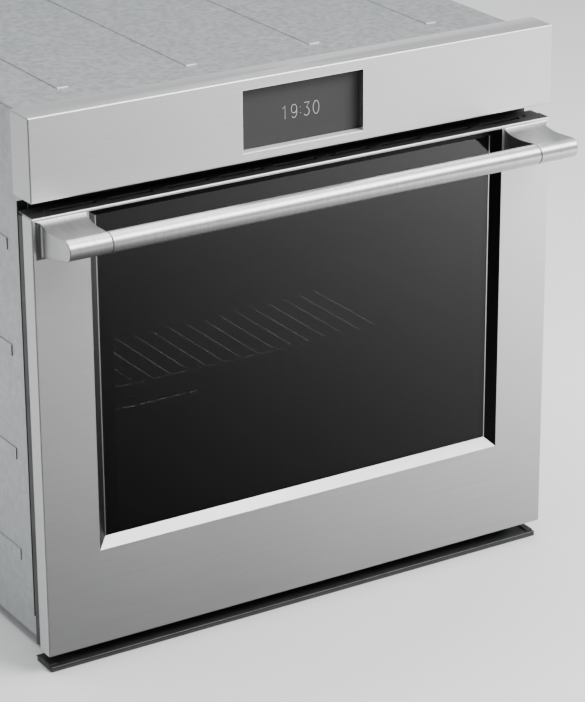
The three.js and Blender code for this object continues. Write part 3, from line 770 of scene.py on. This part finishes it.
def make_handle():
    low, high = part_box("handle_bar")
    radius = (high.z - low.z) / 2
    half = high.x - 0.5 * MM
    groove = 0.5 * MM
    profile = [
        (radius - 2 * MM, -half),
        (radius - groove, -half),
        (radius, -half + 2 * groove),
        (radius, half - 2 * groove),
        (radius - groove, half),
        (radius - 2 * MM, half),
    ]
    axis = (0, (low.y + high.y) / 2, (low.z + high.z) / 2)
    bar = from_bmesh("handle_tube", placed(lathe(profile, 96), axis, (1, 0, 0)))
    present(bar, "bar_steel", "door", ["handle_bar"])
    for side, sign in SIDES:
        make_bracket(side)
        inner, outer, wide = radius - 3 * MM, radius - 0.7 * MM, 0.35 * MM
        seam = lathe([(inner, -wide), (outer, -wide), (outer, wide), (inner, wide)], 64)
        place = (sign * (half + 0.4 * MM), *axis[1:])
        collar = from_bmesh(f"handle_seam_{side}", placed(seam, place, (1, 0, 0)))
        present(collar, "black_plastic", "door")


# ---------------------------------------- display

DIGIT = {"height": 17 * MM, "width": 9.5 * MM, "gap": 4.0 * MM, "stroke": 0.23 * MM}


def arc(cx, cz, rx, rz, start, end, steps=14):
    turns = [math.radians(start + (end - start) * k / steps) for k in range(steps + 1)]
    return [(cx + rx * math.cos(a), cz + rz * math.sin(a)) for a in turns]


# Each sign as strokes in a cell 1 wide and 1 high.
SIGNS = {
    "1": [[(0.22, 0.80), (0.55, 1.0), (0.55, 0.0)]],
    "9": [
        arc(0.5, 0.68, 0.42, 0.32, 0, 360, 28),
        [(0.92, 0.68), *arc(0.5, 0.40, 0.42, 0.40, 20, -140, 16)],
    ],
    "3": [[(0.10, 1.0), (0.86, 1.0), (0.45, 0.60), *arc(0.45, 0.30, 0.43, 0.30, 80, -150, 18)]],
    "0": [arc(0.5, 0.5, 0.44, 0.5, 0, 360, 32)],
}


def make_digits():
    """The clock: plain thin numerals, lit behind the glass."""
    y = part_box("display_glass")[0].y - 0.35 * MM
    height, width, gap, stroke = (DIGIT[k] for k in ("height", "width", "gap", "stroke"))
    colon = 4.5 * MM
    shift = 3 * MM  # how far right of the middle the clock stands
    base = 664 * MM
    total = 4 * width + 2 * gap + 2 * colon
    x = shift - total / 2
    routes = []
    dots = []
    for sign in "19:30":
        if sign == ":":
            x += colon - gap
            dots += [(x, y, base + height * share) for share in (0.28, 0.72)]
            x += colon
            continue
        for strokes in SIGNS[sign]:
            routes.append(([(x + width * u, y, base + height * v) for u, v in strokes], False))
        x += width + gap
    for dx, dy, dz in dots:
        routes.append(([(dx, dy, dz - 0.5 * MM), (dx, dy, dz + 0.5 * MM)], False))
    digits = wires("clock_digits", routes, stroke, 8)
    present(digits, "digits", "oven")


def make_display():
    glass = softened("display_glass", 0.5 * MM)
    present(glass, "display", "oven", ["display_glass"])
    make_digits()


# ---------------------------------------- trims round the door


# Boxes on the lower trim, in mm. The inset counts from the trim's end.
TRIM_PAD = {"inset": 5.5, "half": 5, "front": 9, "back": 41, "low": 7, "high": 9}
TRIM_CAP = {"inset": 0.9, "half": 0.8, "front": 4.3, "back": 43, "low": 0.4, "high": 5}
GRILLE = {"inset": 20, "front": 30, "back": 41, "low": 7.2, "high": 8.2}
GRILLE_SLOT = {"half": 9, "front": 32, "back": 39, "low": 6, "high": 10}
GRILLE_SLOT_PLACES = range(-330, 331, 22)
CAP_SCREW_PLACES = (60, 352)  # on either side of the middle


def make_trims():
    cap = softened("door_top_cap", 0.4 * MM)
    present(cap, "trim_black", "door", ["door_top_cap"])
    trim = softened("lower_vent_trim", 0.7 * MM, 3)
    present(trim, "trim_black", "oven", ["lower_vent_trim"])
    low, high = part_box("lower_vent_trim")
    ends = []
    for _, sign in SIDES:
        for size, width in ((TRIM_PAD, 0.6 * MM), (TRIM_CAP, 0.3 * MM)):
            middle = sign * (high.x - size["inset"] * MM)
            box = behind_face(middle, size["half"] * MM, size)
            ends.append(cuboid(*box, width))
    # painted highlight: a thin grey wire along the trim lip's front edge stands for the line of
    # light that edge catches
    edge_y, edge_z = low.y + 0.5 * MM, high.z - 12.6 * MM
    edge = [(low.x + MM, edge_y, edge_z), (high.x - MM, edge_y, edge_z)]
    present(wires("trim_edge_painted_highlight", [(edge, False)], 0.5 * MM, 8), "cast", "oven")
    plate = cuboid(*behind_face(0, high.x - GRILLE["inset"] * MM, GRILLE), 0.4 * MM)
    grille = from_bmesh("trim_grille", plate)
    half = GRILLE_SLOT["half"] * MM
    slots = [cuboid(*behind_face(x * MM, half, GRILLE_SLOT)) for x in GRILLE_SLOT_PLACES]
    combine(grille, gathered(slots))
    present(grille, "black_paint", "oven")
    present(merged("trim_end_pads", ends), "trim_black", "oven")
    y, z = FACE + 21 * MM, DOOR_TOP - 0.2 * MM
    places = [(sign * x * MM, y, z) for x in CAP_SCREW_PLACES for _, sign in SIDES]
    add_screws("cap_screws", places, (0, 0, 1), "black_paint", "door", 3 * MM)


# ---------------------------------------- cavity


LAMP_HOLE = 28.6 * MM  # radius of the hole in the cavity's wall


def make_cavity():
    low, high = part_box("cavity_liner")
    wall = 2 * MM
    past_mouth = 30 * MM
    inner_low = Vector((low.x + wall, low.y - past_mouth, low.z + wall))
    inner_high = Vector((high.x - wall, high.y - wall, high.z - wall))
    body = from_bmesh("cavity_shell", cuboid(low, high))
    combine(body, cuboid(inner_low, inner_high, 14 * MM, 6))
    holes = []
    reach = 20 * MM
    for side, sign in SIDES:
        lamp_low, lamp_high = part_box(f"oven_lamp_{side}")
        centre = (lamp_low + lamp_high) / 2
        disc = lathe([(0, -reach), (LAMP_HOLE, -reach), (LAMP_HOLE, reach), (0, reach)], 48)
        holes.append(placed(disc, (sign * inner_high.x, centre.y, centre.z), (1, 0, 0)))
    combine(body, *holes)
    edit(body, lambda bm: round_edges(bm, 0.8 * MM, 2, lambda e: sharp(e, 50)))
    present(body, "enamel", "oven", ["cavity_liner"], 30)


def make_rack(node):
    """A frame, two stays and the bars, which hook over it. The body is named as the node is."""
    low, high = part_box(node)
    frame_radius, bar_radius = 2.5 * MM, 1.6 * MM
    z = high.z - frame_radius
    x = high.x - frame_radius
    front, back = low.y + frame_radius, high.y - frame_radius
    routes = [(ring((-x, x), (front, back), z, "xy", 14 * MM), True)]
    for share in (0.3, 0.7):
        y = front + (back - front) * share
        routes.append(([(-x, y, z), (x, y, z)], False))
    outline = wires(node + "_frame", routes, frame_radius)
    present(outline, "chrome", node, [node])
    over = z + frame_radius + bar_radius * 0.6
    hook_line = [(front - MM, z - MM), (front - MM, over), (back + MM, over), (back + MM, z - MM)]
    pitch = 26 * MM
    count = int((x - 10 * MM) / pitch)
    bars = []
    for i in range(-count, count + 1):
        bx = i * pitch
        hook = [(bx, y, h) for y, h in hook_line]
        bars.append((filleted(hook, 2.5 * MM), False))
    present(wires(node + "_bars", bars, bar_radius, 8), "chrome", node)


LADDER_LEVELS = (112, 160, 208, 256, 322, 372)  # mm
LADDER_POSTS = (0.03, 0.6, 0.84)  # shares of the ladder's depth


def make_ladders():
    end = 2 * MM  # from the wires' middle to the ends of the CAD piece
    for side, sign in SIDES:
        low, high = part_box(f"rack_ladder_{side}")
        inside = high.x if sign < 0 else low.x
        wall = low.x if sign < 0 else high.x
        near, far = inside + sign * 2.2 * MM, inside + sign * 8 * MM
        x = (min(near, far), max(near, far))
        y = (low.y + end, high.y - end)
        routes = [(ring(x, y, level * MM, "xy", 2.5 * MM), True) for level in LADDER_LEVELS]
        foot, post_x = wall - sign * end, far + sign * 3 * MM
        bottom, top = low.z + end, high.z - end
        for share in LADDER_POSTS:
            post_y = low.y + (high.y - low.y) * share
            corners = ((foot, bottom), (post_x, bottom), (post_x, top), (foot, top))
            routes.append((filleted([(px, post_y, pz) for px, pz in corners], 2 * MM), False))
        ladder = wires(f"ladder_wires_{side}", routes, 1.9 * MM)
        present(ladder, "chrome", "oven", [f"rack_ladder_{side}"])


BROIL_ROWS = (-220, -140, -60, 60, 140, 220)  # mm, the straight runs
BROIL = {"near": 110 * MM, "far": 470 * MM, "wall": 537.7 * MM, "radius": 4 * MM, "bend": 36 * MM}
HANGER_PLACES = [(x, y) for x in (-180, 0, 180) for y in (170, 400)]  # mm, y from the face
HANGER_HALF = 44 * MM


def make_elements():
    """The broil element as one smooth round tube, with its hangers."""
    low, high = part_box("broil_element")
    z = (low.z + high.z) / 2
    near, far, wall = (FACE + BROIL[k] for k in ("near", "far", "wall"))
    points = []
    for i, x in enumerate(BROIL_ROWS):
        ends = (near, far) if i % 2 else (far, near)
        points += [Vector((x * MM, y, z)) for y in ends]
    points[0].y = wall
    points[-1].y = wall
    route = filleted(points, BROIL["bend"], steps=10)
    tube = wires("broil_tube", [(route, False)], BROIL["radius"], 16)
    present(tube, "heater", "oven", ["broil_element"])
    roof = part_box("cavity_liner")[1].z - 2 * MM
    under = z - 5 * MM
    hangers = []
    for place_x, place_y in HANGER_PLACES:
        x, y = place_x * MM, FACE + place_y * MM
        hangers.append(([(x - HANGER_HALF, y, under), (x + HANGER_HALF, y, under)], False))
        hangers.append(([(x, y, under), (x, y, roof)], False))
    present(wires("broil_hangers", hangers, 1.4 * MM, 8), "chrome", "oven")


LENS = {
    "rings": 4,
    "first": 8 * MM,
    "pitch": 5 * MM,
    "rim": 3 * MM,
    "socket": 6 * MM,
    "depth": 24 * MM,
}


def make_lamps():
    """A ribbed lens with the lamp's socket behind it."""
    crest, valley = 1.4 * MM, 0.4 * MM
    for side, sign in SIDES:
        low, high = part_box(f"oven_lamp_{side}")
        centre = (low + high) / 2
        face = low.x if sign > 0 else high.x
        radius = (high.z - low.z) / 2
        socket = radius - LENS["socket"]
        profile = [(0, 1.6 * MM), (6 * MM, 1.5 * MM)]
        for k in range(LENS["rings"]):
            r = LENS["first"] + LENS["pitch"] * k
            profile += [(r, valley), (r + LENS["pitch"] / 2, crest)]
        profile += [(radius - 2 * MM, 0.6 * MM), (radius, crest), (radius, LENS["rim"])]
        profile += [(socket, LENS["rim"]), (socket, LENS["depth"]), (0, LENS["depth"])]
        lens = placed(lathe(profile, 64), (face, centre.y, centre.z), (sign, 0, 0))
        lens = from_bmesh(f"lamp_lens_{side}", lens)
        present(lens, "clear", "oven", [f"oven_lamp_{side}"], 60)


def make_gasket():
    low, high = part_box("door_gasket")
    middle = 5 * MM  # from the seal's edge to its middle
    x = (low.x + middle, high.x - middle)
    z = (low.z + middle, high.z - middle)
    path = ring(x, (low.y + high.y) / 2, z, "xz", 12 * MM, 8)
    seal = wires("door_seal", [(path, True)], (high.y - low.y) / 2, 14)
    present(seal, "braid", "oven", ["door_gasket"])


GUARD_SCREW = {"x": 165 * MM, "z": 118 * MM}  # from the guard's middle


def make_fan_guard():
    cover = softened("fan_cover", 1.2 * MM, 3)
    present(cover, "enamel", "oven", ["fan_cover"])
    low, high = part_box("fan_cover")
    middle = (low.z + high.z) / 2
    corners = [(x, z) for x in (-1, 1) for z in (-1, 1)]
    places = [(x * GUARD_SCREW["x"], low.y, middle + z * GUARD_SCREW["z"]) for x, z in corners]
    add_screws("guard_screws", places, (0, -1, 0), radius=4 * MM)


# ---------------------------------------- door inside and front frame


BEAD = {"half": 262 * MM, "low": 133 * MM, "high": 467 * MM, "corner": 12 * MM, "radius": 1.5 * MM}
LINER_SCREWS = {  # mm
    "side_x": 330,
    "side_z": (90, 240, 390, 540),
    "end_x": (-160, 160),
    "end_z": (60, 540),
}


def make_door_inside():
    liner = softened("door_liner", 1.3 * MM, 3)
    present(liner, "black_paint", "door", ["door_liner"])
    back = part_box("door_liner")[1].y
    sides, heights = (-BEAD["half"], BEAD["half"]), (BEAD["low"], BEAD["high"])
    bead = ring(sides, back + 0.2 * MM, heights, "xz", BEAD["corner"], 8)
    bead = wires("liner_bead", [(bead, True)], BEAD["radius"], 12)
    present(bead, "black_paint", "door")
    side_x, side_z, end_x, end_z = LINER_SCREWS.values()
    places = [(sign * side_x * MM, back, z * MM) for _, sign in SIDES for z in side_z]
    places += [(x * MM, back, z * MM) for x in end_x for z in end_z]
    add_screws("liner_screws", places, (0, 1, 0), body="door")


FRAME_SCREWS = {  # mm
    "side_x": 335,
    "side_z": (120, 300, 480, 590),
    "low_x": (-200, 0, 200),
    "low_z": 66,
}


def make_front_frame():
    plate = softened("front_frame", 0.4 * MM)
    present(plate, "black_paint", "oven", ["front_frame"])
    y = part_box("front_frame")[0].y
    side_x, side_z, low_x, low_z = FRAME_SCREWS.values()
    places = [(sign * side_x * MM, y, z * MM) for _, sign in SIDES for z in side_z]
    places += [(x * MM, y, low_z * MM) for x in low_x]
    add_screws("frame_screws", places, (0, -1, 0), "black_paint")


# ---------------------------------------- chassis


RIB = {"sunk": 0.6 * MM, "proud": 1.3 * MM}  # of a rib's underside and top, from the sheet's face
# Millimetres from here on. The rear cover's screws are sunk flush.
SIDE_RIBS = {"z": (110, 250, 390, 530), "width": 16, "inset": 60}
TOP_RIBS = {"x": (-270, -90, 90, 270), "half": 8, "inset": 70}
BACK_RIBS = {"z": (90, 500, 560), "width": 14, "half_length": 300}
SIDE_SCREWS = {"z": range(60, 701, 128), "inset": 9}
TOP_SCREWS = {"x": range(-330, 331, 110), "inset": 10}
BACK_SCREWS = {
    "x": range(-340, 341, 136),
    "z": (32, 704),
    "side_x": 340,
    "side_z": range(150, 621, 118),
}
COVER_SCREWS = {"x": 148, "z": (192, 418), "sunk": 2.3}


def make_side_dress(side, sign):
    low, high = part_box(f"side_panel_{side}")
    face = high.x if sign > 0 else low.x
    x0, x1 = sorted((face - sign * RIB["sunk"], face + sign * RIB["proud"]))
    front, back = low.y + SIDE_RIBS["inset"] * MM, high.y - SIDE_RIBS["inset"] * MM
    width = SIDE_RIBS["width"]
    boxes = [((x0, front, z * MM), (x1, back, (z + width) * MM)) for z in SIDE_RIBS["z"]]
    add_ribs(f"side_ribs_{side}", boxes)
    inset = SIDE_SCREWS["inset"] * MM
    edges = (low.y + inset, high.y - inset)
    places = [(face, y, z * MM) for z in SIDE_SCREWS["z"] for y in edges]
    add_screws(f"side_screws_{side}", places, (sign, 0, 0))


def make_top_dress():
    low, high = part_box("top_cover")
    half, inset = TOP_RIBS["half"] * MM, TOP_RIBS["inset"] * MM
    front, back = low.y + inset, high.y - inset
    under, over = high.z - RIB["sunk"], high.z + RIB["proud"]
    boxes = [((x * MM - half, front, under), (x * MM + half, back, over)) for x in TOP_RIBS["x"]]
    add_ribs("top_ribs", boxes)
    inset = TOP_SCREWS["inset"] * MM
    edges = (low.y + inset, high.y - inset)
    places = [(x * MM, y, high.z) for x in TOP_SCREWS["x"] for y in edges]
    add_screws("top_screws", places, (0, 0, 1))


def make_back_dress():
    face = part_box("back_panel")[1].y
    half = BACK_RIBS["half_length"] * MM
    under, over = face - RIB["sunk"], face + RIB["proud"]
    width = BACK_RIBS["width"]
    boxes = [((-half, under, z * MM), (half, over, (z + width) * MM)) for z in BACK_RIBS["z"]]
    add_ribs("back_ribs", boxes)
    places = [(x * MM, face, z * MM) for x in BACK_SCREWS["x"] for z in BACK_SCREWS["z"]]
    side_x = BACK_SCREWS["side_x"] * MM
    places += [(sign * side_x, face, z * MM) for _, sign in SIDES for z in BACK_SCREWS["side_z"]]
    cover_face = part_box("rear_cover")[1].y - COVER_SCREWS["sunk"] * MM
    cover_x = COVER_SCREWS["x"] * MM
    places += [(x * cover_x, cover_face, z * MM) for x in (-1, 1) for z in COVER_SCREWS["z"]]
    add_screws("back_screws", places, (0, 1, 0))


GLAND_PROFILE = (  # mm: radius, and height from the back panel
    (8, -14), (10.4, -14), (10.4, 0.3), (15, 0.3), (15, 5), (12.5, 6), (12.5, 7.4), (8, 7.4),
)
LOCKNUT_PROFILE = ((13, 0.4), (16.8, 0.4), (16.8, 4.6), (13, 4.6))


def make_gland():
    low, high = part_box("conduit_gland")
    centre = (low + high) / 2
    place = (centre.x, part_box("back_panel")[1].y, centre.z)

    def turned(profile, sides):
        return placed(lathe([(r * MM, h * MM) for r, h in profile], sides), place, (0, 1, 0))

    shell = from_bmesh("gland_body", turned(GLAND_PROFILE, 48))
    present(shell, "cast", "oven", ["conduit_gland"])
    locknut = from_bmesh("gland_locknut", turned(LOCKNUT_PROFILE, 6))
    edit(locknut, lambda bm: round_edges(bm, 0.5 * MM, 2))
    present(locknut, "zinc", "oven")


# Fixed nodes that only need soft edges, by their look: the record's slot, and the nodes.
FORMED = {
    "zinc": ("zinc_steel", [
        "side_panel_left", "side_panel_right", "top_cover", "base_pan", "back_panel", "rear_cover",
        "convection_motor", "slide_rail_left", "slide_rail_right", "hinge_receiver_left",
        "hinge_receiver_right", "hinge_claw_left", "hinge_claw_right", "blower_housing", "air_duct",
    ]),
    "black_paint": ("black_paint", [
        "mounting_flange_left", "mounting_flange_right", "blower_motor",
    ]),
    "black_plastic": ("black_plastic", ["latch_motor", "terminal_block", "display_module"]),
}
# The same on moving bodies: look, body and slot.
MOVING = {
    "slide_runner_left": ("zinc", "slide_runners", "zinc_steel"),
    "slide_runner_right": ("zinc", "slide_runners", "zinc_steel"),
    "latch_hook": ("zinc", "latch_hook", "zinc_steel"),
    "door_switch_plunger": ("black_plastic", "door_switch_plunger", "black_plastic"),
    "hinge_channel_left": ("zinc", "door", "zinc_steel"),
    "hinge_channel_right": ("zinc", "door", "zinc_steel"),
    "convection_fan": ("cast", "convection_fan", "cast_aluminium"),
    "blower_wheel": ("cast", "blower_wheel", "cast_aluminium"),
}
# Nodes that stay as the CAD made them.
PLAIN = {
    "insulation_blanket": "quilt",
    "bake_element": "heater",
    "convection_element": "heater",
    "temperature_sensor": "chrome",
    "hinge_spring_left": "chrome",
    "hinge_spring_right": "chrome",
    "control_board": "board",
}


def make_formed():
    for look, (slot, nodes) in FORMED.items():
        for node in nodes:
            present(softened(node, 0.4 * MM), look, "oven", [node])
    for node, (look, body, slot) in MOVING.items():
        present(softened(node, 0.25 * MM), look, body, [node])
    for node, look in PLAIN.items():
        for material_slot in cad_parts[node].material_slots:
            material_slot.material = LOOK[look]


# ---------------------------------------- stage and light


def soft_light(name, place, target, size, power):
    data = bpy.data.lights.new(name, "AREA")
    data.shape = "RECTANGLE"
    data.size, data.size_y = size
    data.energy = power
    light = new_object(name, data)
    light.location = place
    light.rotation_mode = "QUATERNION"
    light.rotation_quaternion = (Vector(target) - Vector(place)).to_track_quat("-Z", "Y")


GLOW_CURVE = 2.0  # the power by which a card's glow rises


def reflector(name, centre, size, tilt, glow, reach):
    """A card that is seen only in reflections.

    Its glow grows along its own X, between the two ends of reach.
    """
    bm = bmesh.new()
    bmesh.ops.create_grid(bm, x_segments=1, y_segments=1, size=0.5)
    bmesh.ops.scale(bm, vec=(*size, 1), verts=bm.verts)
    made = from_bmesh(name, bm)
    made.location = centre
    made.rotation_euler = tilt
    s = Shader(name + "_glow", grey(0.0), 1.0, Specular_IOR_Level=0)
    axes = s.node("ShaderNodeSeparateXYZ")
    s.link(s.coordinates((1, 1, 1)), axes.inputs["Vector"])
    s.set("Emission Color", (1, 1, 1, 1))
    rise = s.node("ShaderNodeMath", operation="POWER")
    s.link(s.span(axes.outputs["X"], 0, 1, *reach), rise.inputs[0])
    rise.inputs[1].default_value = GLOW_CURVE
    s.link(s.span(rise.outputs["Value"], *glow, 0, 1), s.bsdf.inputs["Emission Strength"])
    made.data.materials.append(s.material)
    for ray in ("camera", "diffuse", "shadow", "transmission", "volume_scatter"):
        setattr(made, "visible_" + ray, False)


def make_floor():
    bm = bmesh.new()
    bmesh.ops.create_grid(bm, x_segments=1, y_segments=1, size=12)
    floor = from_bmesh("floor", bm)
    s = Shader("pale_floor", grey(0.86), 0.9, Specular_IOR_Level=0.1)
    s.tone(s.noise((2, 2, 2)), grey(0.85), grey(0.87))
    floor.data.materials.append(s.material)


def make_stage():
    make_floor()
    world = bpy.data.worlds.new("studio")
    world.use_nodes = True
    background = world.node_tree.nodes["Background"]
    background.inputs["Color"].default_value = (0.95, 0.97, 1.0, 1)
    background.inputs["Strength"].default_value = 0.56
    bpy.context.scene.world = world
    soft_light("key", place=(1.6, -2.2, 2.9), target=(0, 0, 0.4), size=(2.2, 1.6), power=160)
    soft_light("overhead", place=(0.2, 0.2, 3.4), target=(0.2, 0.1, 0), size=(3.2, 2.4), power=125)
    place, target = (0, FACE + 0.3, 0.47), (0, FACE + 0.3, 0)
    soft_light("cavity_glow", place, target, size=(0.4, 0.2), power=0.5)
    flat, upright = (0, 0, 0), (0, math.pi / 2, 0)
    reflector(
        "floor_card", (0.6, -1.85, 0.004), (5.0, 3.2), flat, glow=(0.02, 3.9), reach=(-1.0, 0.85)
    )
    reflector(
        "left_card", (-1.95, -2.4, 1.3), (2.6, 5.4), upright, glow=(0.01, 0.03), reach=(-1, 1)
    )


make_camera()
make_panel()
make_door_front()
make_window_surround()
make_glazing()
make_handle()
make_display()
make_trims()
make_cavity()
make_rack("upper_rack")
make_rack("lower_rack")
make_ladders()
make_elements()
make_lamps()
make_gasket()
make_fan_guard()
make_door_inside()
make_front_frame()
for side_name, side_sign in SIDES:
    make_side_dress(side_name, side_sign)
make_top_dress()
make_back_dress()
make_gland()
make_formed()
make_stage()
